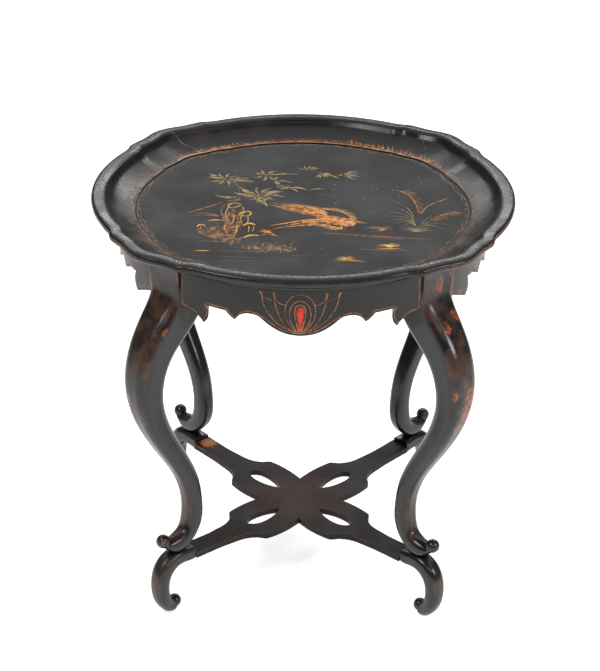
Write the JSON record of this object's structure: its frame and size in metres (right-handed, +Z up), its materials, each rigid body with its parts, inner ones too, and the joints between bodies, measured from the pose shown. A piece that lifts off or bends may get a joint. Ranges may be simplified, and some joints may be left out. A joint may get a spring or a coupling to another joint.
{
  "type": "tray-top side table",
  "caption": "Low lacquered side table: round dished tray with stepped corners on a stand of cabriole legs, fretted aprons, scrolled feet and a pierced cross stretcher.",
  "frame": {"origin": "on the ground, under the middle of the table", "axes": "+Z up; the front apron faces -Y; the legs stand on the diagonals of X and Y"},
  "size_m": [0.62, 0.62, 0.612],
  "materials": {
    "tray_lacquer": "aged black lacquer with a soft gloss, worn brown at the edges, with gilt and coloured painting",
    "stand_lacquer": "aged black lacquer with a soft gloss, worn brown at the edges, with gilt line painting on the aprons",
    "stretcher_lacquer": "thin dark brown lacquer, rubbed through at the edges",
    "raw_wood": "unfinished, darkened with age",
    "screw_brass": "dull, tarnished"
  },
  "bodies": {
    "stand": {"apron_front": "stand_lacquer", "apron_right": "stand_lacquer", "apron_back": "stand_lacquer", "apron_left": "stand_lacquer", "leg_front_left": "stand_lacquer", "foot_front_left": "stand_lacquer", "dowel_front_left": "raw_wood", "glue_block_front_left_a": "raw_wood", "glue_block_front_left_b": "raw_wood", "leg_front_right": "stand_lacquer", "foot_front_right": "stand_lacquer", "dowel_front_right": "raw_wood", "glue_block_front_right_a": "raw_wood", "glue_block_front_right_b": "raw_wood", "leg_back_right": "stand_lacquer", "foot_back_right": "stand_lacquer", "dowel_back_right": "raw_wood", "glue_block_back_right_a": "raw_wood", "glue_block_back_right_b": "raw_wood", "leg_back_left": "stand_lacquer", "foot_back_left": "stand_lacquer", "dowel_back_left": "raw_wood", "glue_block_back_left_a": "raw_wood", "glue_block_back_left_b": "raw_wood", "stretcher_lower": "stretcher_lacquer", "stretcher_upper": "stretcher_lacquer"},
    "tray": {"tray_floor": "tray_lacquer", "batten_left": "raw_wood", "batten_right": "raw_wood", "batten_screws": "screw_brass", "rim_front": "tray_lacquer", "rim_right": "tray_lacquer", "rim_back": "tray_lacquer", "rim_left": "tray_lacquer", "rim_tongue_front_left": "raw_wood", "rim_tongue_front_right": "raw_wood", "rim_tongue_back_right": "raw_wood", "rim_tongue_back_left": "raw_wood"}
  },
  "joints": [
    {"name": "tray_lift", "type": "slide", "parent": "stand", "child": "tray", "axis": [0, 0, 1], "range_m": [0, 0.12]}
  ]
}
